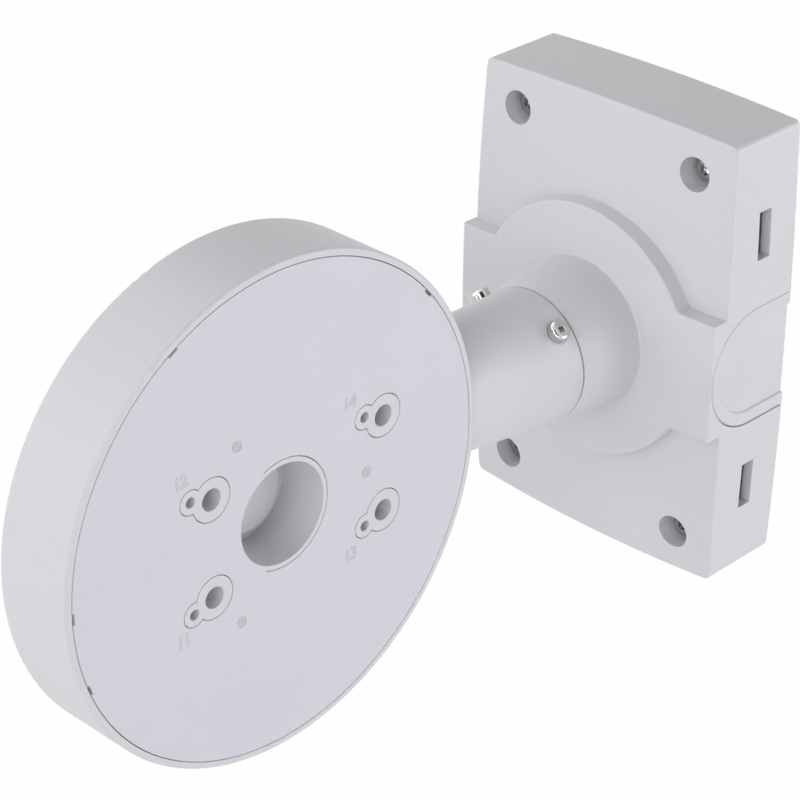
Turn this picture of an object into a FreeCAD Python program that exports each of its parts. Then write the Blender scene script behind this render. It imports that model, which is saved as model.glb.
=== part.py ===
import FreeCAD, Part
import math
import os

# Wall bracket for a dome camera. All sizes are in millimetres.
# X runs along the short side of the wall box, the arm runs out along -Y and Z runs up the long side.
# The wall is the plane Y = 0. The origin lies on it, on the axis of the arm.

V = FreeCAD.Vector
ORIGIN = V(0, 0, 0)
ACROSS = V(1, 0, 0)
INWARD = V(0, 1, 0)
OUTWARD = V(0, -1, 0)
UP = V(0, 0, 1)
FULL_TURN = 360
OVERCUT = 1.0               # how far a cutting tool runs past the face it opens
HAIR = 0.05                 # slack for telling edges and faces apart by their place

# Clearances
seam_gap = 0.25             # between pieces that lie in one another's cut-outs
running_fit = 0.10          # radial play of a shaft in its bore
thread_play = 0.05          # radial play between a screw and its thread

# Cover of the wall box
box_width = 99.0
box_height = 148.2
box_depth = 29.2            # wall to the front edge at a corner
long_side_bow = 1.8         # swell of a long side at its middle
short_side_bow = 1.4
crown_across = 1.2          # rise of the front face from a long side to the middle
crown_along = 2.0           # rise of the front face from a short side to the middle
box_corner_radius = 2.0
box_edge_radius = 0.6
side_wall = 3.4
front_wall = 3.5

# Raised pad with two wings, and the neck that stands on it
pad_radius = 41.9
pad_height = 6.0
pad_edge_radius = 0.6       # rounding all round the front of the pad and its wings
pad_corner_blend = 2.5      # hollow rounding where a wing meets the round pad
wing_half_height = 19.85
wing_drop = 0.75            # how far the wings sit below the arm's axis
neck_radius = 24.8
neck_straight = 3.0         # height of the neck before it starts to draw in
neck_foot = 0.6             # hollow rounding round the foot of the neck
joint_offset = 60.45        # wall to the joint between neck and arm
neck_wall = 3.6

# Round spigot at the neck's end, which the arm turns on
spigot_radius = 15.5
cable_bore_radius = 10.5
joint_gap = 0.7
lock_screw_step = 6.25      # joint to the lock screws and their groove
lock_groove_depth = 1.2
lock_groove_width = 5.4
ring_land = 2.1             # between the two grooves
ring_groove_depth = 2.2
ring_groove_width = 2.6
spigot_end_land = 1.95      # sealing ring's groove to the spigot's end
spigot_bevel = 0.5

# Cover screws, their pillars and the standoffs on the wall plate
screw_edge_x = 14.3         # corner of the box to a cover screw, across
screw_edge_z = 12.4         # corner of the box to a cover screw, along
screw_well_radius = 5.4
screw_well_depth = 8.0
screw_radius = 2.45
screw_tip_bevel = 0.6
screw_head_radius = 3.9
screw_head_height = 3.2
screw_head_round = 1.05
screw_recess_radius = 1.5   # star recess in a head
screw_recess_depth = 1.6
pillar_wall = 2.4
pillar_rib = 2.4
standoff_height = 9.5
standoff_radius = 4.5
standoff_shank_radius = 3.4
screw_reach = 6.5           # how far a screw goes down into its standoff
washer_radius = 4.1
washer_thickness = 1.2
washer_well = 1.5           # recess for the washer in the pillar's end

# Six-pointed star recess, as shares of its radius
star_points = 6
star_core = 0.72
star_lobe = 0.24

# Wall plate and its gasket
plate_thickness = 2.5
plate_ledge = 1.7           # width of the cover's ledge over the gasket
gasket_thickness = 1.5
gasket_margin = 0.15
plate_cable_radius = 22.0
wall_hole_radius = 3.25
wall_hole_spread_x = 25.0
wall_hole_spread_z = 48.0

# Strap slots in the side walls
slot_length = 15.8
slot_width = 5.6
slot_middle_y = 14.8        # wall to the middle of a slot
slot_middle_z = 43.2        # half the space between the middles of two slots
slot_drop = 1.0             # how far the slots sit below the arm's axis

# U-shaped side plug
plug_half_height = 20.0
plug_end_wall = 0.8         # edge of the pad's front to the plug's round end
plug_drop = 1.6             # how far the plug sits below the arm's axis
plug_rim = 2.0              # width of the plug's rim over the step in the side wall
plug_rim_thickness = 1.4
plug_field_margin = 4.7     # edge of the plug to its recessed field
plug_field_depth = 0.9
plug_field_edge = 0.8
plug_skin = 2.2             # wall under the recessed field
plug_web = 2.4              # wall round the plug's inner pocket
plug_lip_thickness = 1.6
plug_lip_setback = 2.2      # front edge of the box to the front end of the lip inside the wall
seal_thickness = 1.0

# Arm
arm_radius = 21.7
arm_wall = 3.8
arm_front_ease = 0.7        # how far the arm's front side draws in beside the joint
arm_back_ease = 0.6         # how far its back side draws in up to the dish
arm_height_ease = 0.7       # how far its top and bottom draw in up to the dish
arm_half_way_share = 0.45   # share of the draw-in that is reached half way
oval_points = 24            # points that an oval of the arm runs through
passage_ledge = 2.0         # ledge in the arm that the spigot's end faces
lock_screw_angles = (45, 135, 270)
lock_head_radius = 3.3
lock_head_height = 4.9
lock_head_rise = 2.7        # how far a lock screw's head stands above the arm
lock_head_round = 0.4
lock_shank_radius = 2.0
lock_well_radius = 3.9
lock_recess_radius = 1.7
lock_recess_depth = 2.2

# Dish
dish_offset = 178.65        # wall to the dish's axis
dish_radius = 77.3
dish_front = 14.5           # arm's axis to the front face of the dish
dish_back = 12.7            # arm's axis to the back of the dish
dish_rim_wall = 4.0
dish_rim_face = 2.15        # width of the rim's end face round the face plate
dish_back_wall = 3.0
dish_front_edge = 0.7
dish_back_edge = 1.2

# Ridge that carries the cable way over the dish's back
ridge_end_step = 2.65       # dish's axis to where the ridge dies out
ridge_sink = 0.8            # how deep its end lies in the dish's back
ridge_steps = 3
ridge_fall = 1.6            # power of the curve along which the ridge falls off
ridge_taper = 1.5           # power of the curve along which it grows narrower
ridge_narrowing = 0.42      # share of its height that it loses by its end

# Face plate let into the dish
face_plate_thickness = 2.2
hook_angles = (40, 120, 180, 199)
hook_width = 6.0
hook_wall = 1.7
hook_length = 6.0
hook_barb = 0.8
hook_barb_height = 1.4
hook_notch_width = 3.4
hook_notch_depth = 0.7
dimple_circle = 32.5
dimple_radius = 1.8
dimple_depth = 0.15
dimple_count = 3

# Central tube of the dish
tube_radius = 15.6
tube_rim = 1.5              # width of the tube's end face that shows in the plate
tube_shoulder = 1.3         # step under the plate
tube_length = 16.5          # dish face to the tube's lower end, beside the boss on the floor
tube_lip_half_angle = 112.5 # the tube shows over this angle to each side of the arm
floor_boss_radius = 12.3
floor_boss_depth = 14.0     # dish face to the top of the boss on the floor
floor_boss_edge = 1.0

# Keyhole-shaped camera posts: big hole with a small hole beside it
post_radius = 6.6
post_hole_radius = 3.35
post_hole_depth = 16.0
post_spread_z = 15.6
post_near_y = 39.3          # dish's axis to the posts on the arm's side
post_far_y = -25.9          # dish's axis to the posts on the free side
pilot_step_y = -7.4         # big hole to small hole
pilot_step_z = 2.25
pilot_post_radius = 3.7
pilot_hole_radius = 1.65
pilot_hole_depth = 9.0

# Ribs of the dish
rib_thickness = 2.4
rib_drop = 3.3              # space between ribs and face plate
rib_clear_radius = 30.0     # room for the cable round the dish's axis, under the tube
upright_rib_angles = (90, 270)

# Places that follow from the sizes above
box_front = box_depth + crown_across + crown_along
pad_front = box_front + pad_height
screw_spread_x = box_width / 2 - screw_edge_x
screw_spread_z = box_height / 2 - screw_edge_z
plate_inset = side_wall - plate_ledge + seam_gap
ledge_y = plate_thickness + gasket_thickness
pillar_end = plate_thickness + standoff_height
plug_depth = pad_front - crown_across - plug_end_wall
plug_lip_front = box_depth - plug_lip_setback
lock_screw_offset = joint_offset + lock_screw_step
lock_head_reach = arm_radius + lock_head_rise
ring_near = lock_screw_offset + lock_groove_width / 2 + ring_land
ring_far = ring_near + ring_groove_width
spigot_end = ring_far + spigot_end_land
socket_radius = spigot_radius + running_fit
socket_end = spigot_end + joint_gap
arm_start = joint_offset + joint_gap
rim_entry = dish_offset - dish_radius
ridge_end = dish_offset - ridge_end_step
plate_back = dish_front - face_plate_thickness
plate_radius = dish_radius - dish_rim_face - seam_gap
dish_floor = -dish_back + dish_back_wall
dish_inner_radius = dish_radius - dish_rim_wall
tube_bottom = dish_front - tube_length
rib_top = plate_back - rib_drop


def block(low, high):
    """Box between two opposite corners."""
    size = high - low
    return Part.makeBox(size.x, size.y, size.z, low)


def rod(radius, start, direction, length):
    return Part.makeCylinder(radius, length, start, direction)


def tube(outer, inner, start, direction, length):
    past = V(direction) * OVERCUT
    bore = rod(inner, start - past, direction, length + 2 * OVERCUT)
    return rod(outer, start, direction, length).cut(bore)


def turned(points, centre=ORIGIN, arc=None):
    """Solid turned about the arm's axis from (radius, distance from the wall) points.

    arc gives the index of the point after which the outline runs on an arc through the next two points."""
    places = [V(radius, -distance, 0) + centre for radius, distance in points]
    edges = []
    index = 0
    while index < len(places):
        start = places[index]
        if arc is not None and index in arc:
            middle = places[index + 1]
            end = places[index + 2]
            edges.append(Part.Arc(start, middle, end).toShape())
            index += 2
        else:
            end = places[(index + 1) % len(places)]
            edges.append(Part.makeLine(start, end))
            index += 1
    return Part.Face(Part.Wire(edges)).revolve(centre, INWARD, FULL_TURN)


def star_recess(radius, start, direction, length, side):
    """Star-shaped recess: a core with round lobes, the first of them towards side."""
    tools = []
    lobe = rod(radius * star_lobe, start + side * (radius * (1 - star_lobe)), direction, length)
    for step in range(star_points):
        turned_lobe = lobe.copy()
        turned_lobe.rotate(start, direction, FULL_TURN / star_points * step)
        tools.append(turned_lobe)
    return rod(radius * star_core, start, direction, length).fuse(tools)


def runs_outwards(edge):
    """Whether an edge lies square to the wall."""
    return edge.BoundBox.XLength < HAIR and edge.BoundBox.ZLength < HAIR


def bowed_prism(inset, near, far):
    """Prism of the box's bowed outline, drawn in by inset, between two distances from the wall."""
    half_x = box_width / 2 - inset
    half_z = box_height / 2 - inset
    corners = [
        V(half_x, -near, half_z),
        V(-half_x, -near, half_z),
        V(-half_x, -near, -half_z),
        V(half_x, -near, -half_z),
    ]
    bulges = [
        V(0, -near, half_z + short_side_bow),
        V(-half_x - long_side_bow, -near, 0),
        V(0, -near, -half_z - short_side_bow),
        V(half_x + long_side_bow, -near, 0),
    ]
    sides = []
    for index, bulge in enumerate(bulges):
        following = corners[(index + 1) % len(corners)]
        sides.append(Part.Arc(corners[index], bulge, following).toShape())
    prism = Part.Face(Part.Wire(sides)).extrude(V(0, near - far, 0))
    radius = box_corner_radius / (1 + inset / box_corner_radius)
    return prism.makeFillet(radius, [edge for edge in prism.Edges if runs_outwards(edge)])


def sagitta_radius(half_chord, rise):
    return (half_chord ** 2 + rise ** 2) / (2 * rise)


def crowned_block(front):
    """Block before the wall, with a front face crowned both ways that peaks at the given distance."""
    across = sagitta_radius(box_width / 2, crown_across)
    along = sagitta_radius(box_height / 2, crown_along)
    reach = box_height / 2 + short_side_bow + OVERCUT
    drop = along - math.sqrt(along ** 2 - reach ** 2)
    low = V(0, -front + drop, -reach)
    high = V(0, -front + drop, reach)
    back_low = V(0, OVERCUT, -reach)
    back_high = V(0, OVERCUT, reach)
    crown = Part.Arc(low, V(0, -front, 0), high).toShape()
    outline = [
        crown,
        Part.makeLine(high, back_high),
        Part.makeLine(back_high, back_low),
        Part.makeLine(back_low, low),
    ]
    section = Part.Face(Part.Wire(outline))
    pivot = V(0, across - front, 0)
    swing = math.degrees(math.asin((box_width / 2 + long_side_bow + OVERCUT) / (across - front)))
    section.rotate(pivot, UP, -swing)
    return section.revolve(pivot, UP, 2 * swing)


def front_at(x, z):
    """Distance from the wall to the crowned front face."""
    along = sagitta_radius(box_height / 2, crown_along)
    across = sagitta_radius(box_width / 2, crown_across)
    drop_z = along - math.sqrt(along ** 2 - z ** 2)
    turn = across - drop_z
    return box_front - across + math.sqrt(turn ** 2 - x ** 2)


def front_edges(solid, limit):
    """Edges of a solid that lie wholly farther from the wall than limit."""
    return [edge for edge in solid.Edges if edge.BoundBox.YMax < -limit]


def screw_places():
    places = []
    for z in (screw_spread_z, -screw_spread_z):
        for x in (-screw_spread_x, screw_spread_x):
            places.append((x, z))
    return places


def winged_prism(inset, near, far):
    """Round pad with its two wings, drawn in by inset, between two distances from the wall."""
    reach = box_width / 2 + long_side_bow + OVERCUT
    disc = rod(pad_radius - inset, V(0, -near, 0), OUTWARD, far - near)
    half = wing_half_height - inset
    wings = block(V(-reach, -far, -half - wing_drop), V(reach, -near, half - wing_drop))
    return disc.fuse(wings).removeSplitter()


def make_pad():
    """Pad with wings that end flush with the side walls; its front edge is rounded all round."""
    near = box_depth / 2
    prism = winged_prism(0, near, pad_front + OVERCUT)
    upright = [edge for edge in prism.Edges if runs_outwards(edge)]
    corners = [edge for edge in upright if abs(edge.BoundBox.XMin) < pad_radius - HAIR]
    shell = bowed_prism(0, near, pad_front + OVERCUT).common(crowned_block(pad_front))
    pad = prism.makeFillet(pad_corner_blend, corners).common(shell)
    front = [face for face in pad.Faces if face.BoundBox.YMax < -box_front]
    return pad.makeFillet(pad_edge_radius, front[0].OuterWire.Edges)


def neck_profile(inset):
    """Domed neck: start, middle and end of the arc that draws in from the foot to the arm's radius."""
    foot = neck_radius - inset
    end = arm_radius - inset
    arc_start = pad_front + neck_straight
    length = joint_offset - arc_start
    radius = (length ** 2 + (foot - end) ** 2) / (2 * (foot - end))
    half = math.asin(length / radius) / 2
    middle = (foot - radius + radius * math.cos(half), arc_start + radius * math.sin(half))
    return (foot, arc_start), middle, (end, joint_offset)


def make_neck():
    """Neck with its hollow foot fillet and the grooved spigot."""
    start, middle, end = neck_profile(0)
    pad_here = pad_front + front_at(neck_radius, 0) - box_front
    foot_middle = neck_foot * (1 - math.sqrt(0.5))
    groove_near = lock_screw_offset - lock_groove_width / 2
    groove_far = lock_screw_offset + lock_groove_width / 2
    points = [
        (0, box_depth),
        (neck_radius + neck_foot, box_depth),
        (neck_radius + neck_foot, pad_here),
        (neck_radius + foot_middle, pad_here + foot_middle),
        (neck_radius, pad_here + neck_foot),
        start,
        middle,
        end,
        (spigot_radius, joint_offset),
        (spigot_radius, groove_near),
        (spigot_radius - lock_groove_depth, groove_near + lock_groove_depth / 2),
        (spigot_radius - lock_groove_depth, groove_far - lock_groove_depth / 2),
        (spigot_radius, groove_far),
        (spigot_radius, ring_near),
        (spigot_radius - ring_groove_depth, ring_near),
        (spigot_radius - ring_groove_depth, ring_far),
        (spigot_radius, ring_far),
        (spigot_radius, spigot_end - spigot_bevel),
        (spigot_radius - spigot_bevel, spigot_end),
        (0, spigot_end),
    ]
    return turned(points, arc=(2, 5))


def make_cover_hollow():
    """Inside of the cover: main hollow, ledge for the gasket, hollow of the pad, and the cable way."""
    hollow = bowed_prism(side_wall, -OVERCUT, box_front).common(crowned_block(box_front - front_wall))
    ledge = bowed_prism(side_wall - plate_ledge, -OVERCUT, ledge_y)
    pad_hollow = winged_prism(front_wall, OVERCUT, pad_front)
    pad_hollow = pad_hollow.common(bowed_prism(side_wall, OVERCUT, pad_front))
    pad_hollow = pad_hollow.common(crowned_block(pad_front - front_wall))
    start, middle, end = neck_profile(neck_wall)
    narrowing = joint_offset - neck_wall
    points = [
        (0, OVERCUT),
        (neck_radius - neck_wall, OVERCUT),
        start,
        middle,
        (end[0], narrowing - neck_wall),
        (cable_bore_radius, narrowing),
        (cable_bore_radius, spigot_end + OVERCUT),
        (0, spigot_end + OVERCUT),
    ]
    return hollow.fuse([ledge, pad_hollow, turned(points, arc=(2,))])


def make_pillars(filled):
    """Pillars for the cover screws, each tied to both walls by a rib, kept inside the filled cover."""
    pieces = []
    pillar_radius = screw_well_radius + pillar_wall
    for x, z in screw_places():
        side_x = math.copysign(box_width / 2, x)
        side_z = math.copysign(box_height / 2, z)
        pieces.append(rod(pillar_radius, V(x, -pillar_end, z), OUTWARD, box_front - pillar_end))
        half = pillar_rib / 2
        low = V(min(x, side_x), -box_front, z - half)
        high = V(max(x, side_x), -pillar_end, z + half)
        pieces.append(block(low, high))
        low = V(x - half, -box_front, min(z, side_z))
        high = V(x + half, -pillar_end, max(z, side_z))
        pieces.append(block(low, high))
    return pieces[0].fuse(pieces[1:]).common(filled)


def screw_seat(x, z):
    return front_at(x, z) - screw_well_depth


def make_screw_holes():
    """Well for the head, clear hole for the shank and recess for the captive washer, at each screw."""
    tools = []
    for x, z in screw_places():
        seat = screw_seat(x, z)
        tools.append(rod(screw_well_radius, V(x, -seat, z), OUTWARD, screw_well_depth + OVERCUT))
        tools.append(rod(screw_radius + running_fit, V(x, 0, z), OUTWARD, seat + OVERCUT))
        tools.append(rod(washer_radius + seam_gap, V(x, 0, z), OUTWARD, pillar_end + washer_well))
    return tools


def plug_shape(grow, near, far):
    """U-shaped prism across the right side wall, open towards the wall plate. grow makes it larger."""
    half = plug_half_height + grow
    end = plug_depth + grow
    inner = box_width / 2 - side_wall * 2
    outer = box_width / 2 + long_side_bow + OVERCUT
    middle_y = end - half
    straight = block(V(inner, -middle_y, -half - plug_drop), V(outer, OVERCUT, half - plug_drop))
    round_end = rod(half, V(inner, -middle_y, -plug_drop), ACROSS, outer - inner)
    shape = straight.fuse(round_end)
    reach = OVERCUT * 2 + half
    return shape.common(block(V(inner, -far, -plug_drop - reach), V(outer, -near, -plug_drop + reach)))


def make_strap_slots():
    """Slots for a strap, straight through both side walls."""
    reach = box_width / 2 + long_side_bow + OVERCUT
    tools = []
    for z in (slot_middle_z, -slot_middle_z):
        middle = z - slot_drop
        low = V(-reach, -slot_middle_y - slot_width / 2, middle - slot_length / 2)
        high = V(reach, -slot_middle_y + slot_width / 2, middle + slot_length / 2)
        tools.append(block(low, high))
    return tools


def mirrored(shape):
    return shape.mirror(ORIGIN, ACROSS)


def make_filled_cover():
    """Cover before it is hollowed: crowned shell, pad and neck."""
    shell = bowed_prism(0, 0, box_front).common(crowned_block(box_front))
    shell = shell.makeFillet(box_edge_radius, front_edges(shell, box_depth - crown_across))
    return shell.fuse([make_pad(), make_neck()])


def make_box_cover(filled, hollow):
    pillars = make_pillars(filled)
    cover = filled.cut(hollow).fuse(pillars)
    notch = make_plug_notch()
    tools = make_screw_holes() + make_strap_slots() + [notch, mirrored(notch)]
    return cover.cut(tools).removeSplitter()


def make_plug_notch():
    """Notch for the side plug: a through cut with a wider step in the outside of the wall."""
    step = plug_shape(0, -OVERCUT, plug_depth + OVERCUT)
    step = step.cut(bowed_prism(plug_rim_thickness + seam_gap, -OVERCUT * 2, pad_front))
    return step.fuse(plug_shape(-plug_rim, -OVERCUT, plug_depth))


def field_edges(plug):
    """Edges between the plug's outer face and the side of its recessed field."""
    half = plug_half_height - plug_field_margin + HAIR
    outer_face = box_width / 2 + long_side_bow - plug_field_depth / 2
    edges = []
    for edge in plug.Edges:
        box = edge.BoundBox
        in_field = abs(box.ZMax + plug_drop) < half and abs(box.ZMin + plug_drop) < half
        at_wall = box.YMin > -HAIR
        if box.XMin > outer_face and in_field and not at_wall:
            edges.append(edge)
    return edges


def make_side_plug(filled):
    """Plug for the notch: flush rim over the wall's step, web through the notch and lip behind the wall."""
    back = side_wall + seam_gap + plug_lip_thickness
    skin = plug_field_depth + plug_skin
    rim = plug_shape(-seam_gap, 0, plug_depth).cut(bowed_prism(plug_rim_thickness, -OVERCUT, pad_front))
    web = plug_shape(-plug_rim - seal_thickness, 0, plug_depth).cut(bowed_prism(back, -OVERCUT, pad_front))
    behind_wall = bowed_prism(side_wall + seam_gap, 0, plug_lip_front)
    behind_wall = behind_wall.cut(bowed_prism(back, -OVERCUT, pad_front))
    lip = plug_shape(-seam_gap, 0, plug_lip_front).common(behind_wall)
    field = plug_shape(-plug_field_margin, -OVERCUT, plug_depth)
    field = field.cut(bowed_prism(plug_field_depth, -OVERCUT * 2, pad_front))
    pocket = plug_shape(-plug_rim - seal_thickness - plug_web, -OVERCUT, plug_depth)
    pocket = pocket.common(bowed_prism(skin, -OVERCUT, pad_front))
    ledge = bowed_prism(side_wall - plate_ledge, -OVERCUT, ledge_y + seam_gap)
    plug = rim.fuse([web, lip]).common(filled).cut([field, pocket, ledge]).removeSplitter()
    return plug.makeFillet(plug_field_edge, field_edges(plug))


def make_plug_seal():
    """Rubber strip that fills the groove between the notch's edge and the plug's web."""
    strip = plug_shape(-plug_rim, ledge_y + seam_gap, plug_depth)
    strip = strip.cut(plug_shape(-plug_rim - seal_thickness, -OVERCUT, plug_depth))
    outside = bowed_prism(plug_rim_thickness, -OVERCUT, pad_front)
    inside = bowed_prism(side_wall + seam_gap, -OVERCUT, pad_front)
    return strip.common(outside).cut(inside)


def make_wall_plate():
    """Flat plate behind the cover, with holes for the cable, the screws into the wall and the standoffs."""
    plate = bowed_prism(plate_inset, 0, plate_thickness)
    tools = [rod(plate_cable_radius, V(0, OVERCUT, 0), OUTWARD, plate_thickness + 2 * OVERCUT)]
    for x in (-wall_hole_spread_x, wall_hole_spread_x):
        for z in (-wall_hole_spread_z, wall_hole_spread_z):
            tools.append(rod(wall_hole_radius, V(x, OVERCUT, z), OUTWARD, plate_thickness + 2 * OVERCUT))
    for x, z in screw_places():
        start = V(x, OVERCUT, z)
        tools.append(rod(standoff_shank_radius + thread_play, start, OUTWARD, plate_thickness + 2 * OVERCUT))
    return plate.cut(tools)


def make_gasket():
    outer = bowed_prism(plate_inset + gasket_margin, plate_thickness, ledge_y)
    return outer.cut(bowed_prism(side_wall + gasket_margin, 0, box_depth))


def make_standoff(x, z):
    """Threaded bush whose shank is pressed into the wall plate."""
    shank = rod(standoff_shank_radius, V(x, -seam_gap, z), OUTWARD, plate_thickness)
    body = rod(standoff_radius, V(x, -plate_thickness, z), OUTWARD, standoff_height)
    thread = rod(screw_radius + thread_play, V(x, OVERCUT, z), OUTWARD, pillar_end + 2 * OVERCUT)
    return shank.fuse(body).cut(thread).removeSplitter()


def make_cover_screw(x, z):
    """Pan-head screw with a star recess."""
    seat = screw_seat(x, z)
    tip = pillar_end - screw_reach
    shank = rod(screw_radius, V(x, -tip, z), OUTWARD, seat - tip)
    point = [edge for edge in shank.Edges if edge.BoundBox.YMin > -tip - HAIR]
    shank = shank.makeChamfer(screw_tip_bevel, point)
    head = rod(screw_head_radius, V(x, -seat, z), OUTWARD, screw_head_height)
    top = seat + screw_head_height
    rim = [edge for edge in head.Edges if edge.BoundBox.YMax < -top + HAIR]
    head = head.makeFillet(screw_head_round, rim)
    recess_start = V(x, -top - OVERCUT, z)
    recess = star_recess(screw_recess_radius, recess_start, INWARD, screw_recess_depth + OVERCUT, UP)
    return shank.fuse(head).cut(recess).removeSplitter()


def make_washer(x, z):
    """Captive washer in the pillar's end, lying on the standoff."""
    outer = washer_radius
    inner = screw_radius + running_fit
    return tube(outer, inner, V(x, -pillar_end, z), OUTWARD, washer_thickness)


def oval_wire(distance, back, front, half_height):
    """Closed smooth oval across the arm, between two X places."""
    middle = (back + front) / 2
    half_width = (front - back) / 2
    points = []
    for step in range(oval_points):
        angle = math.radians(FULL_TURN / oval_points * step)
        points.append(V(middle + half_width * math.cos(angle), -distance, half_height * math.sin(angle)))
    curve = Part.BSplineCurve()
    curve.interpolate(Points=points, PeriodicFlag=True)
    return Part.Wire(curve.toShape())


def arm_stations():
    """Ovals that the arm runs through: (distance from wall, back X, front X, half height)."""
    entry_front = dish_front - dish_front_edge
    entry_half = arm_radius - arm_height_ease
    front_fall = (arm_radius - entry_front) * arm_half_way_share
    half_way = (arm_start + rim_entry) / 2
    half_way_height = arm_radius - arm_height_ease * arm_half_way_share
    stations = [
        (arm_start, -arm_radius, arm_radius, arm_radius),
        ((arm_start + socket_end) / 2, -arm_radius, arm_radius - arm_front_ease, arm_radius),
        (half_way, -arm_radius, arm_radius - front_fall, half_way_height),
        (rim_entry, -arm_radius + arm_back_ease, entry_front, entry_half),
    ]
    back_rise = arm_radius - arm_back_ease - dish_back
    for step in range(1, ridge_steps + 1):
        share = step / ridge_steps
        back = -dish_back - back_rise * (1 - share ** ridge_fall) + ridge_sink * share
        half = entry_half * (1 - ridge_narrowing * share ** ridge_taper)
        stations.append((rim_entry + (ridge_end - rim_entry) * share, back, entry_front * (1 - share), half))
    return stations


def make_arm_body():
    wires = [oval_wire(*station) for station in arm_stations()]
    return Part.makeLoft(wires, True, False)


def make_arm_passage():
    """Cable way through the arm, from the socket's end to the trough on the dish's back."""
    reach = socket_radius - passage_ledge
    wires = [oval_wire(socket_end - OVERCUT, -reach, reach, reach)]
    for distance, back, front, half in arm_stations()[2:]:
        wires.append(oval_wire(distance + arm_wall, back + arm_wall, front - arm_wall, half - arm_wall))
    return Part.makeLoft(wires, True, False)


def on_dish(along, up, x):
    """Place on the dish, from its axis towards the wall and upwards."""
    return V(x, along - dish_offset, up)


def dish_disc(radius, low, high):
    return rod(radius, on_dish(0, 0, low), ACROSS, high - low)


def dish_sector(inner, outer, low, high, angle, half_angle):
    """Piece of a ring round the dish's axis, centred on an angle."""
    corners = [
        on_dish(inner, 0, low),
        on_dish(outer, 0, low),
        on_dish(outer, 0, high),
        on_dish(inner, 0, high),
    ]
    face = Part.Face(Part.makePolygon(corners + corners[:1]))
    centre = on_dish(0, 0, 0)
    face.rotate(centre, ACROSS, angle - half_angle)
    return face.revolve(centre, ACROSS, 2 * half_angle)


def lies_across(edge, place):
    """Whether the whole edge lies square to the dish's axis at the given X place."""
    return edge.BoundBox.XMax < place + HAIR and edge.BoundBox.XMin > place - HAIR


def half_angle_of(width, radius):
    return math.degrees(math.asin(width / 2 / radius))


def post_places():
    places = []
    for along in (post_near_y, post_far_y):
        for side in (1, -1):
            pilot_up = side * (post_spread_z + pilot_step_z)
            places.append((along, side * post_spread_z, along + pilot_step_y, pilot_up))
    return places


def post_shapes(grow, low, high):
    """Keyhole outlines of the four camera posts, each a big and a small round."""
    shapes = []
    for along, up, pilot_along, pilot_up in post_places():
        big = rod(post_radius + grow, on_dish(along, up, low), ACROSS, high - low)
        small = rod(pilot_post_radius + grow, on_dish(pilot_along, pilot_up, low), ACROSS, high - low)
        shapes.append(big.fuse(small))
    return shapes


def post_holes():
    tools = []
    for along, up, pilot_along, pilot_up in post_places():
        start = on_dish(along, up, dish_front - post_hole_depth)
        tools.append(rod(post_hole_radius, start, ACROSS, post_hole_depth + OVERCUT))
        start = on_dish(pilot_along, pilot_up, dish_front - pilot_hole_depth)
        tools.append(rod(pilot_hole_radius, start, ACROSS, pilot_hole_depth + OVERCUT))
    return tools


def make_ribs():
    """Ribs from the central tube to the rim, one through each camera post and two upright.

    Below the tube they are cut back, so that the cable has room."""
    angles = [math.degrees(math.atan2(up, along)) for along, up, _, _ in post_places()]
    inner = tube_radius + tube_rim / 2
    bottom = -arm_radius
    room = dish_disc(rib_clear_radius, bottom - OVERCUT, tube_bottom)
    ribs = []
    for angle in angles + list(upright_rib_angles):
        low = on_dish(inner, -rib_thickness / 2, bottom)
        high = on_dish(dish_radius - dish_back_edge, rib_thickness / 2, rib_top)
        rib = block(low, high)
        rib.rotate(on_dish(0, 0, 0), ACROSS, angle)
        ribs.append(rib.cut(room))
    return ribs


def make_central_tube():
    """Tube round the dish's cable hole, with a lip that shows in the face plate on the arm's side."""
    shoulder = tube_radius + tube_rim + tube_shoulder
    start = on_dish(0, 0, tube_bottom)
    body = tube(shoulder, tube_radius, start, ACROSS, tube_length - face_plate_thickness)
    outer = tube_radius + tube_rim
    lip = dish_sector(tube_radius, outer, plate_back - OVERCUT, dish_front, 0, tube_lip_half_angle)
    return body.fuse(lip)


def make_lock_holes():
    """Threaded hole and head well for each lock screw."""
    tools = []
    for angle in lock_screw_angles:
        direction = V(math.cos(math.radians(angle)), 0, math.sin(math.radians(angle)))
        centre = V(0, -lock_screw_offset, 0)
        seat = lock_head_reach - lock_head_height
        tools.append(rod(lock_shank_radius + thread_play, centre, direction, seat + OVERCUT))
        tools.append(rod(lock_well_radius, centre + direction * seat, direction, lock_head_height))
    return tools


def make_hook_catches():
    """Pockets in the inside of the dish's rim that the face plate's hooks snap into."""
    half = half_angle_of(hook_width + 2 * seam_gap, dish_inner_radius)
    inner = dish_inner_radius - OVERCUT
    outer = dish_inner_radius + hook_barb
    low = plate_back - hook_length - seam_gap
    high = low + hook_barb_height + 2 * seam_gap
    return [dish_sector(inner, outer, low, high, angle, half) for angle in hook_angles]


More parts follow.
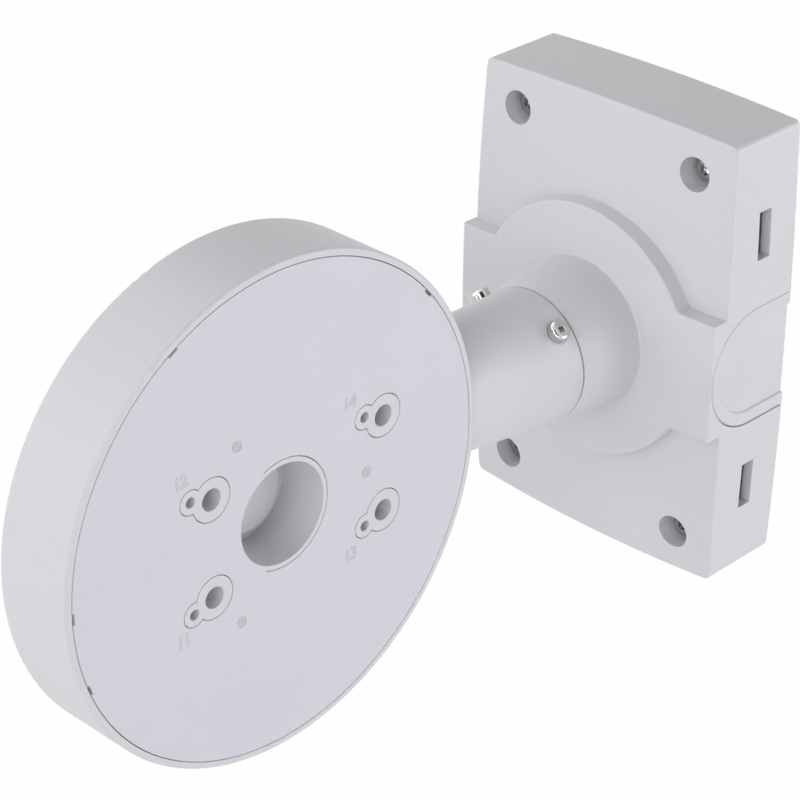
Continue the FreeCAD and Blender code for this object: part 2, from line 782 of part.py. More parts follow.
def make_arm_and_dish():
    """Arm and dish cast in one, with the ridge that carries the cable way over the dish's back."""
    disc = dish_disc(dish_radius, -dish_back, dish_front)
    rims = {-dish_back: dish_back_edge, dish_front: dish_front_edge}
    for place, radius in rims.items():
        disc = disc.makeFillet(radius, [edge for edge in disc.Edges if lies_across(edge, place)])
    arm = make_arm_body()
    filled = arm.fuse(disc)
    hollow = dish_disc(dish_inner_radius, dish_floor, plate_back + OVERCUT)
    rebate = dish_disc(plate_radius + seam_gap, plate_back, dish_front + OVERCUT)
    socket = rod(socket_radius, V(0, -arm_start + OVERCUT, 0), OUTWARD, socket_end - arm_start + OVERCUT)
    casting = filled.cut([hollow, rebate, socket, make_arm_passage()])
    inner_parts = make_ribs() + post_shapes(0, -arm_radius, plate_back)
    held = [part.common(filled) for part in inner_parts]
    casting = casting.fuse(held + [make_central_tube()] + post_shapes(0, plate_back - OVERCUT, dish_front))
    boss = dish_disc(floor_boss_radius, -dish_back + dish_back_edge, dish_front - floor_boss_depth)
    boss_rim = [edge for edge in boss.Edges if edge.BoundBox.XMin > dish_front - floor_boss_depth - HAIR]
    casting = casting.fuse(boss.makeFillet(floor_boss_edge, boss_rim))
    return casting.cut(post_holes() + make_lock_holes() + make_hook_catches())


def make_lock_screw(angle):
    """Cap screw across the arm's wall: its point stands over the spigot's groove."""
    direction = V(math.cos(math.radians(angle)), 0, math.sin(math.radians(angle)))
    centre = V(0, -lock_screw_offset, 0)
    seat = lock_head_reach - lock_head_height
    point = spigot_radius - lock_groove_depth + running_fit
    shank = rod(lock_shank_radius, centre + direction * point, direction, seat - point)
    head = rod(lock_head_radius, centre + direction * seat, direction, lock_head_height)
    far = centre + direction * lock_head_reach
    rim = [edge for edge in head.Edges if (edge.CenterOfMass - far).Length < HAIR]
    head = head.makeFillet(lock_head_round, rim)
    recess_start = far + direction * OVERCUT
    recess = star_recess(lock_recess_radius, recess_start, -direction, lock_recess_depth + OVERCUT, INWARD)
    return shank.fuse(head).cut(recess).removeSplitter()


def make_sealing_ring():
    """Round rubber ring in the spigot's groove."""
    section = ring_groove_depth / 2
    return Part.makeTorus(spigot_radius - section, section, V(0, -(ring_near + ring_far) / 2, 0), INWARD)


def make_face_plate():
    """Disc let into the dish: cut out round the posts and the tube, with hooks that snap into the rim."""
    plate = dish_disc(plate_radius, plate_back, dish_front)
    opening_low = plate_back - OVERCUT
    opening_high = dish_front + OVERCUT
    tube_hole = dish_disc(tube_radius, opening_low, opening_high)
    lip_outer = tube_radius + tube_rim + seam_gap
    lip_hole = dish_sector(0, lip_outer, opening_low, opening_high, 0, tube_lip_half_angle)
    tools = [tube_hole, lip_hole] + post_shapes(seam_gap, opening_low, opening_high)
    for index in range(dimple_count):
        angle = math.radians(FULL_TURN / dimple_count * index)
        along = dimple_circle * math.cos(angle)
        up = dimple_circle * math.sin(angle)
        tools.append(rod(dimple_radius, on_dish(along, up, dish_front - dimple_depth), ACROSS, OVERCUT))
    hooks = []
    for angle in hook_angles:
        half = half_angle_of(hook_width, dish_inner_radius)
        outer = dish_inner_radius - seam_gap
        low = plate_back - hook_length
        hooks.append(dish_sector(outer - hook_wall, outer, low, plate_back + HAIR, angle, half))
        barb_outer = dish_inner_radius + hook_barb - seam_gap
        hooks.append(dish_sector(outer - hook_wall, barb_outer, low, low + hook_barb_height, angle, half))
        notch_half = half_angle_of(hook_notch_width, plate_radius)
        notch_floor = plate_radius - hook_notch_depth
        notch_end = plate_radius + OVERCUT
        tools.append(dish_sector(notch_floor, notch_end, opening_low, opening_high, angle, notch_half))
    return plate.fuse(hooks).cut(tools).removeSplitter()


os.makedirs("parts", exist_ok=True)

filled_cover = make_filled_cover()
cover_hollow = make_cover_hollow()
side_plug = make_side_plug(filled_cover)
plug_seal = make_plug_seal()

nodes = {
    "wall_plate": make_wall_plate(),
    "box_gasket": make_gasket(),
    "box_cover": make_box_cover(filled_cover, cover_hollow),
    "side_plug_right": side_plug,
    "side_plug_left": mirrored(side_plug),
    "plug_seal_right": plug_seal,
    "plug_seal_left": mirrored(plug_seal),
    "arm_seal_ring": make_sealing_ring(),
    "arm_and_dish": make_arm_and_dish(),
    "face_plate": make_face_plate(),
}
for number, (x, z) in enumerate(screw_places(), start=1):
    nodes["cover_screw_%d" % number] = make_cover_screw(x, z)
    nodes["captive_washer_%d" % number] = make_washer(x, z)
    nodes["plate_standoff_%d" % number] = make_standoff(x, z)
for number, angle in enumerate(lock_screw_angles, start=1):
    nodes["lock_screw_%d" % number] = make_lock_screw(angle)

for name, shape in nodes.items():
    shape.exportStep("parts/%s.step" % name)
    print(name, "solids", len(shape.Solids), "valid", shape.isValid(), "volume", round(shape.Volume, 1))
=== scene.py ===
import math

import bpy
from mathutils import Matrix, Vector


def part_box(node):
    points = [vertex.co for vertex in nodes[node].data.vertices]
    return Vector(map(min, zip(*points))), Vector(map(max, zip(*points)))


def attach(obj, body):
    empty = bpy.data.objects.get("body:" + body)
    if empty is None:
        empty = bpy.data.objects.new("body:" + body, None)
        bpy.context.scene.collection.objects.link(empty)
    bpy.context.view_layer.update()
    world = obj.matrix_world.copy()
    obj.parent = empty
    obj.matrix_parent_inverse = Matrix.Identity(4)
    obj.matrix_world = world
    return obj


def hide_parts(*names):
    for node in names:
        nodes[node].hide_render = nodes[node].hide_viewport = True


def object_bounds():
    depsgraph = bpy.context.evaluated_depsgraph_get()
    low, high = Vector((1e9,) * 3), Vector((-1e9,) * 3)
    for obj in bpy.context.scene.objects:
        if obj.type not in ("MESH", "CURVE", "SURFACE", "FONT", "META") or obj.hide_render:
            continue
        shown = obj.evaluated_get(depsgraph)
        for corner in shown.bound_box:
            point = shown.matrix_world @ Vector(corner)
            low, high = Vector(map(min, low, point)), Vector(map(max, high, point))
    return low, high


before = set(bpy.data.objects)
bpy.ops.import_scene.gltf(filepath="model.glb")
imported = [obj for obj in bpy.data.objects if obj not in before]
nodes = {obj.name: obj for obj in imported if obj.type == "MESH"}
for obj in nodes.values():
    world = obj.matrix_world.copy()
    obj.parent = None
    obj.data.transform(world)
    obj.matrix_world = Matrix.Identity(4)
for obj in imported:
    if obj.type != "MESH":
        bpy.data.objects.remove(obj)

cad_low, cad_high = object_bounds()

# The view: a long lens to the right of the arm and above it, as the photograph has it.
# The lens is worked out for a square picture of 800 pixels.
view_azimuth = math.radians(44.46)
view_elevation = math.radians(29.17)
view_roll = math.radians(0.29)
view_distance = 0.89017
aim_right, aim_up = -0.08321, -0.03496
picture_pixels = 800.0
focal_pixels = 2785.86
middle_pixel = (398.2, 399.8)
sensor_millimetres = 36.0

backwards = Vector((
    math.sin(view_azimuth) * math.cos(view_elevation),
    -math.cos(view_azimuth) * math.cos(view_elevation),
    math.sin(view_elevation),
))
level = Vector((math.cos(view_azimuth), math.sin(view_azimuth), 0.0))
upright = backwards.cross(level)
rightwards = level * math.cos(view_roll) + upright * math.sin(view_roll)
upwards = upright * math.cos(view_roll) - level * math.sin(view_roll)
stand = backwards * view_distance + rightwards * aim_right + upwards * aim_up

lens = bpy.data.cameras.new("camera")
lens.sensor_width = sensor_millimetres
lens.lens = focal_pixels * sensor_millimetres / picture_pixels
lens.shift_x = (picture_pixels / 2 - middle_pixel[0]) / picture_pixels
lens.shift_y = (middle_pixel[1] - picture_pixels / 2) / picture_pixels
lens.clip_start, lens.clip_end = 0.01, 20.0
camera = bpy.data.objects.new("camera", lens)
camera.matrix_world = Matrix((
    (rightwards.x, upwards.x, backwards.x, stand.x),
    (rightwards.y, upwards.y, backwards.y, stand.y),
    (rightwards.z, upwards.z, backwards.z, stand.z),
    (0.0, 0.0, 0.0, 1.0),
))
bpy.context.scene.collection.objects.link(camera)
bpy.context.scene.camera = camera
bpy.context.scene.view_settings.view_transform = "Standard"


# The studio: a pale floor well below the bracket, a light tent that is brightest at the level of
# the horizon, broad soft lamps and a dark card. The floor and the surround show white, and the
# floor keeps shadows.
class Signal:
    """A value in a material. Arithmetic on it adds Math nodes."""

    def __init__(self, finish, socket):
        self.finish, self.socket = finish, socket

    def __add__(self, other):
        return self.finish.maths("ADD", self, other)

    def __sub__(self, other):
        return self.finish.maths("SUBTRACT", self, other)

    def __rsub__(self, other):
        return self.finish.maths("SUBTRACT", other, self)

    def __mul__(self, other):
        return self.finish.maths("MULTIPLY", self, other)

    __radd__ = __add__
    __rmul__ = __mul__


class Finish:
    """The nodes of a surface's finish, or of the light of the surround."""

    def __init__(self, owner):
        self.owner = owner
        owner.use_nodes = True
        self.nodes, self.links = owner.node_tree.nodes, owner.node_tree.links
        self.main = self.nodes.get("Principled BSDF") or self.nodes.get("Background")

    def feed(self, socket, value):
        if isinstance(value, Signal):
            self.links.new(value.socket, socket)
        else:
            socket.default_value = value

    def node(self, kind, settings=None, sockets=None, output=0):
        made = self.nodes.new(kind)
        for name, value in (settings or {}).items():
            if name == "stops":
                for stop, (place, colour) in zip(made.color_ramp.elements, value):
                    stop.position, stop.color = place, colour
            else:
                setattr(made, name, value)
        for name, value in (sockets or {}).items():
            self.feed(made.inputs[name], value)
        return Signal(self, made.outputs[output])

    def maths(self, operation, first, second):
        return self.node("ShaderNodeMath", {"operation": operation}, {0: first, 1: second})

    def surface(self, **values):
        for name, value in values.items():
            self.feed(self.main.inputs[name.replace("_", " ")], value)
        return self.owner

    def seen(self):
        """1 for rays that show the surround itself, in the picture or in metal or glass."""
        in_picture, in_metal, in_glass = [
            self.node("ShaderNodeLightPath", output=kind)
            for kind in ("Is Camera Ray", "Is Glossy Ray", "Is Transmission Ray")]
        return self.maths("MAXIMUM", self.maths("MAXIMUM", in_picture, in_metal), in_glass)


floor_drop = 0.28
floor_size = 8.0
floor_white = 0.88
floor_glow = 0.985
tent_strength = 0.473

bpy.ops.object.select_all(action="DESELECT")
bpy.ops.mesh.primitive_plane_add(size=floor_size, location=(0, 0, cad_low.z - floor_drop))
bpy.ops.object.transform_apply(location=True)
floor = bpy.context.object
floor.name = "floor"
floor_finish = Finish(bpy.data.materials.new("pale_floor"))
floor_finish.surface(Base_Color=(floor_white, floor_white, floor_white, 1.0), Roughness=0.9)
paint = Signal(floor_finish, floor_finish.main.outputs[0])
glow = floor_finish.node("ShaderNodeEmission", None, {"Color": (1, 1, 1, 1), "Strength": 1.0})
mixed = floor_finish.node(
    "ShaderNodeMixShader", None, {0: floor_finish.seen() * floor_glow, 1: paint, 2: glow})
floor_finish.feed(floor_finish.nodes["Material Output"].inputs["Surface"], mixed)
floor.data.materials.append(floor_finish.owner)

world = bpy.data.worlds.new("surround")
bpy.context.scene.world = world
surround = Finish(world)
direction = surround.node("ShaderNodeTexCoord", output="Generated")
height = surround.node("ShaderNodeSeparateXYZ", None, {"Vector": direction}, output="Z")
tent = (1 - height * height) * tent_strength
surround.surface(Color=(1.0, 1.0, 1.0, 1.0), Strength=tent + surround.seen() * (1 - tent))

lamp_size = 1.6
lamp_aim = Vector((0, -0.1, 0))


def soft_lamp(name, watts, place):
    """A broad round lamp, aimed at the arm, that doesn't show in the picture itself."""
    light = bpy.data.lights.new(name, "AREA")
    light.shape, light.size, light.energy = "DISK", lamp_size, watts
    lamp = bpy.data.objects.new(name, light)
    lamp.location = place
    lamp.rotation_euler = (lamp_aim - lamp.location).to_track_quat("-Z", "Y").to_euler()
    lamp.visible_camera = False
    bpy.context.scene.collection.objects.link(lamp)


soft_lamp("low_right_lamp", 7.4, (1.15, -1.25, -0.12))
soft_lamp("front_lamp", 10.2, (0.3, -1.6, 1.0))
soft_lamp("left_lamp", 6.7, (-1.2, -1.6, 0.8))
soft_lamp("high_left_lamp", 9.1, (-1.5, -0.2, 1.1))
soft_lamp("rear_right_lamp", 16.4, (1.4, 1.1, 0.1))

# The card stands high on the right, out of the picture. Only reflections show it, so that the bare
# steel has its dark bands.
card_radius = 0.67
card_distance = 1.5
card_way = Vector((0.683, -0.259, 0.683))
bpy.ops.object.select_all(action="DESELECT")
bpy.ops.mesh.primitive_circle_add(
    vertices=48, radius=card_radius, fill_type="NGON", location=card_way * card_distance,
    rotation=card_way.to_track_quat("Z", "Y").to_euler())
bpy.ops.object.transform_apply()
card = bpy.context.object
card.name = "dark_card"
card.visible_camera = card.visible_diffuse = False
card.visible_transmission = card.visible_shadow = False
card_finish = Finish(bpy.data.materials.new("dark_card"))
card_finish.surface(Base_Color=(0.02, 0.02, 0.02, 1.0), Roughness=0.9)
card.data.materials.append(card_finish.owner)


# The cover of the wall box: an aluminium casting with the neck of the arm in one piece, coated with
# white powder paint that is baked on. It is satin, with the faint peel and speckle that the paint
# has close up. Four screws hold it to the plate on the wall.
coat_colour = (0.700, 0.700, 0.733)
peel_size = 0.0016
speckle_size = peel_size / 5
edge_round = 0.0003


def powder_coat(name, colour, peel_height, roughness):
    """Baked powder paint, a little uneven in its skin, sheen and tone."""
    coat = Finish(bpy.data.materials.new(name))
    place = coat.node("ShaderNodeTexCoord", output="Object")
    peel = coat.node(
        "ShaderNodeTexNoise", None, {"Vector": place, "Scale": 1 / peel_size, "Detail": 3.0})
    speckle = coat.node(
        "ShaderNodeTexNoise", None, {"Vector": place, "Scale": 1 / speckle_size, "Detail": 2.0})
    cloud = coat.node("ShaderNodeTexNoise", None, {"Vector": place, "Scale": 22.0, "Detail": 2.0})
    soft_edge = coat.node("ShaderNodeBevel", {"samples": 4}, {"Radius": edge_round})
    bump = coat.node("ShaderNodeBump", None, {
        "Height": peel + speckle * 0.25, "Strength": 0.35, "Distance": peel_height,
        "Normal": soft_edge})
    thin_colour = [0.975 * part for part in colour]
    shade = coat.node(
        "ShaderNodeValToRGB", {"stops": ((0.3, (*thin_colour, 1)), (0.7, (*colour, 1)))},
        {"Fac": cloud * 0.7 + speckle * 0.3})
    return coat.surface(
        Base_Color=shade, Roughness=roughness + (peel - 0.5) * 0.18, Normal=bump, IOR=1.5)


def finish_node(name, material):
    """Gives a CAD node its finish."""
    mesh = nodes[name].data
    mesh.materials.clear()
    mesh.materials.append(material)


casting_coat = powder_coat("white_powder_coat", coat_colour, peel_height=0.00008, roughness=0.42)
finish_node("box_cover", casting_coat)


# The two plugs in the cover's sides: matt white plastic, moulded with the fine grain of a
# spark-eroded mould. Each slides into its notch from the back and is held there by the wall.
plug_colour = (0.700, 0.695, 0.735)
plug_roughness = 0.52
plug_grain_height = 0.00006
plug_plastic = Finish(bpy.data.materials.new("matt_white_plastic"))
place = plug_plastic.node("ShaderNodeTexCoord", output="Object")
grain = plug_plastic.node(
    "ShaderNodeTexVoronoi", {"feature": "SMOOTH_F1"}, {"Vector": place, "Scale": 2600.0})
cloud = plug_plastic.node(
    "ShaderNodeTexNoise", None, {"Vector": place, "Scale": 60.0, "Detail": 3.0})
soft_edge = plug_plastic.node("ShaderNodeBevel", {"samples": 4}, {"Radius": edge_round})
bump = plug_plastic.node("ShaderNodeBump", None, {
    "Height": grain, "Strength": 0.25, "Distance": plug_grain_height, "Normal": soft_edge})
dull_colour = [0.97 * part for part in plug_colour]
shade = plug_plastic.node(
    "ShaderNodeValToRGB", {"stops": ((0.35, (*dull_colour, 1)), (0.65, (*plug_colour, 1)))},
    {"Fac": cloud})
plug_plastic.surface(
    Base_Color=shade, Roughness=plug_roughness + (grain - 0.5) * 0.12, Normal=bump, IOR=1.48)
for side in ("right", "left"):
    finish_node("side_plug_" + side, plug_plastic.owner)


# The plate behind the cover: steel sheet with bright zinc plating, with the mottled crystals of the
# zinc and the long rolling marks of the sheet. The wall's screws hold it.
zinc_roughness = 0.30
zinc = Finish(bpy.data.materials.new("zinc_plated_steel"))
place = zinc.node("ShaderNodeTexCoord", output="Object")
crystal = zinc.node(
    "ShaderNodeTexVoronoi", None, {"Vector": place, "Scale": 260.0}, output="Color")
crystal_tone = zinc.node("ShaderNodeSeparateColor", None, {"Color": crystal}, output="Red")
along_sheet = zinc.node("ShaderNodeMapping", None, {"Vector": place, "Scale": (1.0, 1.0, 0.03)})
rolling = zinc.node(
    "ShaderNodeTexNoise", None, {"Vector": along_sheet, "Scale": 1500.0, "Detail": 3.0})
bump = zinc.node(
    "ShaderNodeBump", None, {"Height": rolling, "Strength": 0.3, "Distance": 0.00002})
tone = zinc.node(
    "ShaderNodeValToRGB",
    {"stops": ((0.0, (0.56, 0.57, 0.58, 1)), (1.0, (0.68, 0.69, 0.71, 1)))},
    {"Fac": crystal_tone})
zinc.surface(
    Base_Color=tone, Metallic=1.0, Normal=bump,
    Roughness=zinc_roughness + crystal_tone * 0.12 + rolling * 0.06)
finish_node("wall_plate", zinc.owner)


# The gasket, the two plug seals and the ring in the neck's groove: black rubber with a dull,
# slightly dusty skin. They lie squeezed between the pieces that they seal.
rubber_roughness = 0.62
rubber = Finish(bpy.data.materials.new("black_rubber"))
place = rubber.node("ShaderNodeTexCoord", output="Object")
skin = rubber.node("ShaderNodeTexNoise", None, {"Vector": place, "Scale": 900.0, "Detail": 4.0})
dust = rubber.node("ShaderNodeTexNoise", None, {"Vector": place, "Scale": 90.0, "Detail": 5.0})
bump = rubber.node("ShaderNodeBump", None, {"Height": skin, "Strength": 0.5, "Distance": 0.00004})
shade = rubber.node(
    "ShaderNodeValToRGB",
    {"stops": ((0.4, (0.018, 0.018, 0.019, 1)), (0.75, (0.05, 0.049, 0.047, 1)))},
    {"Fac": dust})
rubber.surface(Base_Color=shade, Roughness=rubber_roughness + dust * 0.2, Normal=bump, IOR=1.5)
for name in ("box_gasket", "plug_seal_right", "plug_seal_left", "arm_seal_ring"):
    finish_node(name, rubber.owner)


# The standoffs that the cover is screwed to: stainless bushes turned from bar, with fine marks of
# the tool round them. They are pressed into the plate.
def stainless(name, roughness, mark_depth, painted_shade_factor=1.0):
    """Bare stainless steel with the fine marks of its making and a faint haze."""
    steel = Finish(bpy.data.materials.new(name))
    place = steel.node("ShaderNodeTexCoord", output="Object")
    marks = steel.node(
        "ShaderNodeTexNoise", None, {"Vector": place, "Scale": 4200.0, "Detail": 2.0})
    haze = steel.node("ShaderNodeTexNoise", None, {"Vector": place, "Scale": 350.0, "Detail": 4.0})
    bump = steel.node(
        "ShaderNodeBump", None, {"Height": marks, "Strength": 0.3, "Distance": mark_depth})
    # A painted_shade_factor below 1 darkens the steel's tone: painted shade.
    dark, light = [
        [painted_shade_factor * part for part in colour]
        for colour in ((0.53, 0.53, 0.52), (0.64, 0.635, 0.62))]
    tone = steel.node(
        "ShaderNodeValToRGB", {"stops": ((0.3, (*dark, 1)), (0.7, (*light, 1)))}, {"Fac": haze})
    return steel.surface(
        Base_Color=tone, Metallic=1.0, Roughness=roughness + (haze - 0.5) * 0.16, Normal=bump)


turned_steel = stainless("turned_stainless", roughness=0.32, mark_depth=0.00002)
for number in range(1, 5):
    finish_node("plate_standoff_%d" % number, turned_steel)


# The captive washers in the ends of the cover's pillars: natural nylon, cream and slightly waxy.
# Each grips its screw's shank and keeps the screw in the cover when that is off the wall.
nylon_roughness = 0.42
nylon = Finish(bpy.data.materials.new("natural_nylon"))
place = nylon.node("ShaderNodeTexCoord", output="Object")
flow = nylon.node("ShaderNodeTexNoise", None, {"Vector": place, "Scale": 420.0, "Detail": 3.0})
bump = nylon.node("ShaderNodeBump", None, {"Height": flow, "Strength": 0.2, "Distance": 0.00003})
shade = nylon.node(
    "ShaderNodeValToRGB",
    {"stops": ((0.3, (0.74, 0.71, 0.62, 1)), (0.7, (0.80, 0.78, 0.70, 1)))},
    {"Fac": flow})
nylon.surface(Base_Color=shade, Roughness=nylon_roughness + flow * 0.1, Normal=bump, IOR=1.53)
for number in range(1, 5):
    finish_node("captive_washer_%d" % number, nylon.owner)


# The four cover screws: stainless pan heads with a six-pointed star recess and a rolled thread.
# Each stands in its well in the cover and holds it to a threaded standoff.
smooth_angle = math.radians(32)


def choose(piece, kind, wanted):
    """Leaves a piece in edit mode, with the vertices, edges or faces selected whose place fits."""
    if bpy.context.mode != "OBJECT":
        bpy.ops.object.mode_set(mode="OBJECT")
    bpy.ops.object.select_all(action="DESELECT")
    piece.select_set(True)
    bpy.context.view_layer.objects.active = piece
    bpy.ops.object.mode_set(mode="EDIT")
    bpy.ops.mesh.select_mode(type=kind)
    bpy.ops.mesh.select_all(action="DESELECT")
    bpy.ops.object.mode_set(mode="OBJECT")
    mesh = piece.data
    if kind == "VERT":
        found = [(vertex, vertex.co) for vertex in mesh.vertices]
    elif kind == "EDGE":
        found = [
            (edge, sum((mesh.vertices[end].co for end in edge.vertices), Vector()) / 2)
            for edge in mesh.edges]
    else:
        found = [(face, face.center) for face in mesh.polygons]
    for part, place in found:
        part.select = wanted(place)
    bpy.ops.object.mode_set(mode="EDIT")


def reach(place):
    """How far a place lies from the Z axis."""
    return math.hypot(place.x, place.y)


def star_screw(
        name, head_radius, head_height, head_round, star_radius, star_depth, shank_radius,
        shank_length, pitch):
    """A screw on the Z axis: its head stands on z = 0 and its shank hangs below."""
    hair = head_height / 1000
    bpy.ops.object.select_all(action="DESELECT")
    bpy.ops.mesh.primitive_cylinder_add(
        vertices=36, radius=head_radius, depth=head_height, location=(0, 0, head_height / 2))
    bpy.ops.object.transform_apply(location=True)
    screw = bpy.context.object
    screw.name = name
    choose(screw, "EDGE", lambda place: place.z > head_height - hair)
    bpy.ops.mesh.bevel(offset=head_round, segments=5, profile=0.5)
    choose(screw, "FACE", lambda place: place.z > head_height - hair)
    bpy.ops.mesh.inset(thickness=head_radius - head_round - star_radius)

    # The star has a vertex at every ten degrees: in each sixth, the first stays out as the point
    # and the others draw in.
    for share, steps in ((0.97, (1, 5)), (0.86, (2, 4)), (0.78, (3,))):
        choose(screw, "VERT", lambda place: (
            place.z > head_height - hair
            and star_radius * 0.98 < reach(place) < star_radius * 1.02
            and round(math.degrees(math.atan2(place.x, place.y)) / 10) % 6 in steps))
        bpy.ops.transform.resize(value=(share, share, 1), center_override=(0, 0, head_height))

    # The star's narrow chamfer, its walls and the cone at its foot.
    choose(screw, "FACE", lambda place: (
        place.z > head_height - hair and reach(place) < star_radius / 5))
    bpy.ops.mesh.inset(thickness=star_radius * 0.05, depth=-star_radius * 0.07)
    bpy.ops.mesh.extrude_region_move(TRANSFORM_OT_translate={"value": (0, 0, -star_depth)})
    bpy.ops.mesh.inset(thickness=star_radius * 0.3, depth=star_radius * -0.2)

    # The shank, chamfered at its end.
    choose(screw, "FACE", lambda place: place.z < hair)
    bpy.ops.mesh.inset(thickness=head_radius - shank_radius)
    bpy.ops.mesh.extrude_region_move(TRANSFORM_OT_translate={"value": (0, 0, -shank_length)})
    choose(screw, "EDGE", lambda place: place.z < -shank_length + hair)
    bpy.ops.mesh.bevel(offset=shank_radius / 4, segments=1)
    bpy.ops.object.mode_set(mode="OBJECT")

    # The thread: a three-sided ridge wound round the shank, drawn to a point at both ends.
    ridge = pitch / 2
    plain_end = pitch * 1.4
    threaded_length = shank_length * 0.62
    turns = int(threaded_length / pitch)
    first = Vector((shank_radius, 0, -shank_length + plain_end))
    bpy.ops.object.select_all(action="DESELECT")
    bpy.ops.mesh.primitive_circle_add(
        vertices=3, radius=ridge, rotation=(math.pi / 2, math.pi / 2, 0), location=first)
    bpy.ops.object.transform_apply()
    thread = bpy.context.object
    winding = thread.modifiers.new("winding", "SCREW")
    winding.axis, winding.angle, winding.screw_offset = "Z", math.tau, pitch
    winding.iterations = turns
    winding.steps = winding.render_steps = 18
    bpy.ops.object.modifier_apply(modifier="winding")
    for end in (first, first + Vector((0, 0, pitch * turns))):
        choose(thread, "VERT", lambda place: (place - end).length < ridge * 1.1)
        bpy.ops.mesh.merge(type="COLLAPSE")
    bpy.ops.mesh.select_all(action="SELECT")
    bpy.ops.mesh.normals_make_consistent(inside=False)
    bpy.ops.object.mode_set(mode="OBJECT")
    screw.select_set(True)
    bpy.context.view_layer.objects.active = screw
    bpy.ops.object.join()
    bpy.ops.object.shade_smooth_by_angle(angle=smooth_angle)
    return screw


def set_in_place(template, name, seat, axis):
    """A copy of a screw or ring, with its own mesh, that stands on seat and points along axis."""
    bpy.ops.object.select_all(action="DESELECT")
    template.select_set(True)
    bpy.context.view_layer.objects.active = template
    bpy.ops.object.duplicate()
    placed = bpy.context.object
    placed.name = name
    placed.location = seat
    placed.rotation_euler = axis.to_track_quat("Z", "Y").to_euler()
    bpy.ops.object.transform_apply()
    return placed


head_height = 0.0032
low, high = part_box("cover_screw_1")
cover_screw = star_screw(
    "cover_screw", head_radius=0.0039, head_height=head_height, head_round=0.0008,
    star_radius=0.0021, star_depth=0.0016, shank_radius=0.00205,
    shank_length=high.y - low.y - head_height, pitch=0.0008)
# The cover screws' steel is 0.72 as bright as the other steel: painted shade of the wells they
# stand in.
cover_screw.data.materials.append(
    stainless("stainless_screw_painted_shade", roughness=0.18, mark_depth=0.00001, painted_shade_factor=0.72))
for number in range(1, 5):
    name = "cover_screw_%d" % number
    low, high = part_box(name)
    seat = Vector(((low.x + high.x) / 2, low.y + head_height, (low.z + high.z) / 2))
    screw = set_in_place(cover_screw, name + "_steel", seat, Vector((0, -1, 0)))
    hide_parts(name)
    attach(screw, "wall_box")
bpy.data.objects.remove(cover_screw)


# The arm and its dish: one more aluminium casting, with the same white powder coat as the cover.
# It turns on the neck's spigot.
finish_node("arm_and_dish", casting_coat)


# The collar at the foot of the dish's tube: a thin C of the plugs' white plastic, which closes 220
# degrees of the gap round the boss. The camera's cable comes up through the part that stays open.
def turned_ring(name, inner, outer, thickness, turn):
    """A ring round the Z axis standing on z = 0, or the part of one that starts at the X axis."""
    bpy.ops.object.select_all(action="DESELECT")
    bpy.ops.mesh.primitive_plane_add(
        size=1, rotation=(math.pi / 2, 0, 0), location=((inner + outer) / 2, 0, thickness / 2))
    ring = bpy.context.object
    ring.name = name
    ring.scale = (outer - inner, thickness, 1)
    bpy.ops.object.transform_apply()
    bpy.ops.object.mode_set(mode="EDIT")
    bpy.ops.mesh.select_all(action="SELECT")

    # A whole ring meets itself and has no end faces.
    if turn == math.tau:
        bpy.ops.mesh.delete(type="ONLY_FACE")
        bpy.ops.mesh.select_all(action="SELECT")
    bpy.ops.mesh.spin(steps=48, angle=turn, center=(0, 0, 0), axis=(0, 0, 1))
    bpy.ops.mesh.select_all(action="SELECT")
    bpy.ops.mesh.remove_doubles(threshold=0.00001)
    bpy.ops.mesh.normals_make_consistent(inside=False)
    bpy.ops.object.mode_set(mode="OBJECT")
    rounding = ring.modifiers.new("rounding", "BEVEL")
    rounding.width, rounding.segments, rounding.angle_limit = 0.00015, 2, math.radians(40)
    bpy.ops.object.modifier_apply(modifier="rounding")
    bpy.ops.object.shade_smooth_by_angle(angle=smooth_angle)
    return ring


plate_low, plate_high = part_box("face_plate")
dish_axis = Vector((0, (plate_low.y + plate_high.y) / 2, (plate_low.z + plate_high.z) / 2))
tube_length = 0.0165
collar_thickness = 0.0011
collar_start, collar_turn = math.radians(72), math.radians(220)
foot_gap = 0.00002
collar = turned_ring(
    "tube_collar", inner=0.01245, outer=0.0172, thickness=collar_thickness, turn=collar_turn)
collar_seat = plate_high.x - tube_length - foot_gap - collar_thickness
into_dish = Matrix(((0, 0, 1), (1, 0, 0), (0, 1, 0)))
collar.location = dish_axis + Vector((collar_seat, 0, 0))
collar.rotation_euler = (Matrix.Rotation(collar_start, 3, "X") @ into_dish).to_euler()
bpy.ops.object.transform_apply()
collar.data.materials.append(plug_plastic.owner)
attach(collar, "arm")


# The three lock screws that hold the arm on the spigot: stainless cap screws with rounded heads,
# which stand well above the arm in shallow wells. A white plastic ring round each head fills its
# well.
head_height = 0.0049
head_radius = 0.0033
ring_clearance = 0.00002
low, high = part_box("lock_screw_3")
head_top = -low.z
lock_screw = star_screw(
    "lock_screw", head_radius=head_radius, head_height=head_height, head_round=0.0009,
    star_radius=0.0013, star_depth=0.0022, shank_radius=0.00165,
    shank_length=high.z - low.z - head_height, pitch=0.0007)
lock_screw.data.materials.append(
    stainless("polished_stainless", roughness=0.12, mark_depth=0.00001))
lock_ring = turned_ring(
    "lock_ring", inner=head_radius + ring_clearance, outer=0.00387, thickness=0.0018,
    turn=math.tau)
lock_ring.data.materials.append(plug_plastic.owner)
for number in range(1, 4):
    name = "lock_screw_%d" % number
    low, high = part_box(name)
    middle = (low + high) / 2
    outwards = Vector((middle.x, 0, middle.z)).normalized()
    seat = Vector((0, middle.y, 0)) + outwards * (head_top - head_height)
    screw = set_in_place(lock_screw, name + "_steel", seat, outwards)
    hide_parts(name)
    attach(screw, "arm")
    ring = set_in_place(lock_ring, "lock_ring_%d" % number, seat, outwards)
    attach(ring, "arm")
bpy.data.objects.remove(lock_screw)
bpy.data.objects.remove(lock_ring)


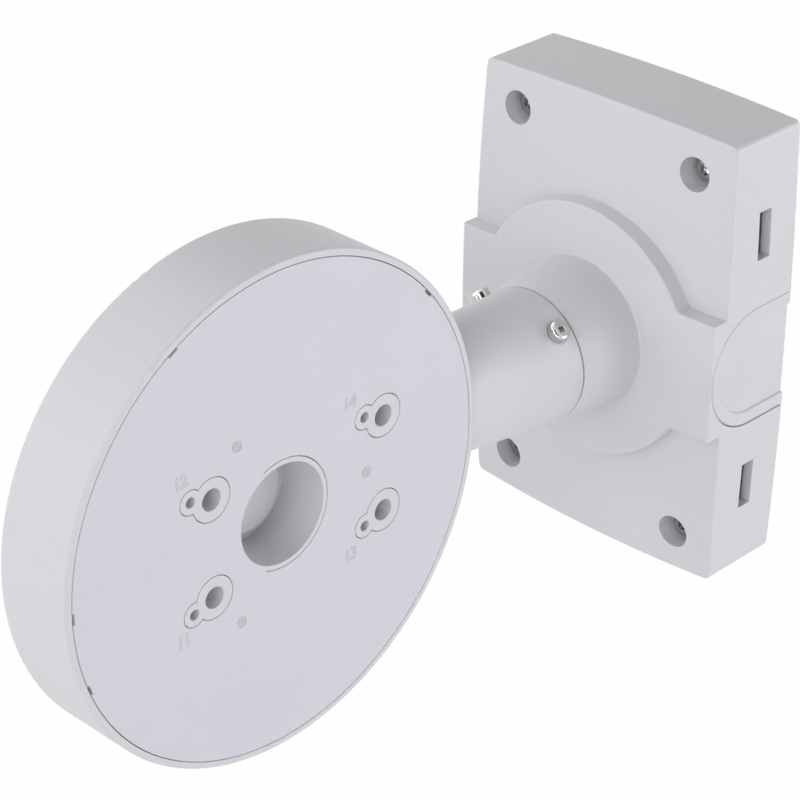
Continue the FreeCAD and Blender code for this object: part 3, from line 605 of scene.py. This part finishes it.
# The plate in the dish: a thin coated casting that snaps into the rim with its hooks. Beside each
# camera post it has a small raised number.
plate_colour = (0.698, 0.684, 0.750)
# The numbers' coat is 0.90 as bright as the plate's: painted shade of their edges.
painted_shade_number_colour = [0.90 * part for part in plate_colour]
number_size = 0.0056
number_height = 0.00008
number_boldness = 0.00016
number_places = {
    "11": (-0.03735, -0.02485),
    "12": (-0.0365, 0.0252),
    "13": (0.0262, -0.02505),
    "14": (0.02615, 0.02465),
}
finish_node("face_plate", powder_coat(
    "face_plate_coat", plate_colour, peel_height=0.00006, roughness=0.45))
number_coat = powder_coat(
    "raised_number_painted_shade_coat", painted_shade_number_colour, peel_height=0.00004, roughness=0.5)
plate_middle = (plate_low + plate_high) / 2
for word, (along, up) in number_places.items():
    bpy.ops.object.select_all(action="DESELECT")
    bpy.ops.object.text_add(
        location=(plate_high.x, plate_middle.y + along, plate_middle.z + up),
        rotation=(math.pi / 2, 0, math.pi / 2))
    number = bpy.context.object
    number.name = "post_number_" + word
    number.data.body = word
    number.data.size = number_size
    number.data.offset = number_boldness
    number.data.space_character = 0.9
    number.data.extrude = number_height
    number.data.align_x, number.data.align_y = "CENTER", "CENTER"
    bpy.ops.object.convert(target="MESH")
    bpy.ops.object.transform_apply()
    bpy.ops.object.mode_set(mode="EDIT")
    bpy.ops.mesh.select_all(action="SELECT")
    bpy.ops.mesh.remove_doubles(threshold=0.000001)
    bpy.ops.mesh.normals_make_consistent(inside=False)
    bpy.ops.object.mode_set(mode="OBJECT")
    number.data.materials.append(number_coat)
    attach(number, "arm")


# Three pins hold the plate's middle down: grey plastic heads, slightly dished, each in its own
# shallow hollow of the plate.
pin_colour = (0.57, 0.567, 0.603)
pin_roughness = 0.5
pin_radius = 0.00142
pin_height = 0.00012
pin_circle = 0.0325
hollow_depth = 0.00015
pin_plastic = Finish(bpy.data.materials.new("grey_pin_plastic"))
place = pin_plastic.node("ShaderNodeTexCoord", output="Object")
grain = pin_plastic.node(
    "ShaderNodeTexNoise", None, {"Vector": place, "Scale": 2400.0, "Detail": 3.0})
bump = pin_plastic.node(
    "ShaderNodeBump", None, {"Height": grain, "Strength": 0.3, "Distance": 0.00004})
dull_colour = [0.95 * part for part in pin_colour]
shade = pin_plastic.node(
    "ShaderNodeValToRGB", {"stops": ((0.3, (*dull_colour, 1)), (0.7, (*pin_colour, 1)))},
    {"Fac": grain})
pin_plastic.surface(
    Base_Color=shade, Roughness=pin_roughness + (grain - 0.5) * 0.1, Normal=bump, IOR=1.48)
for number in range(1, 4):
    turn = math.tau / 3 * (number - 1)
    hollow = dish_axis + Vector((
        plate_high.x - hollow_depth, pin_circle * math.cos(turn), pin_circle * math.sin(turn)))
    bpy.ops.object.select_all(action="DESELECT")
    bpy.ops.mesh.primitive_cylinder_add(
        vertices=32, radius=pin_radius, depth=pin_height, rotation=(0, math.pi / 2, 0),
        location=hollow + Vector((pin_height / 2, 0, 0)))
    bpy.ops.object.transform_apply()
    pin = bpy.context.object
    pin.name = "plate_pin_%d" % number
    choose(pin, "FACE", lambda place: place.x > hollow.x + pin_height * 0.9)
    bpy.ops.mesh.inset(thickness=pin_radius * 0.2, depth=0)
    bpy.ops.mesh.inset(thickness=pin_radius * 0.3, depth=-pin_height * 0.5)
    bpy.ops.object.mode_set(mode="OBJECT")
    bpy.ops.object.shade_smooth_by_angle(angle=smooth_angle)
    pin.data.materials.append(pin_plastic.owner)
    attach(pin, "arm")
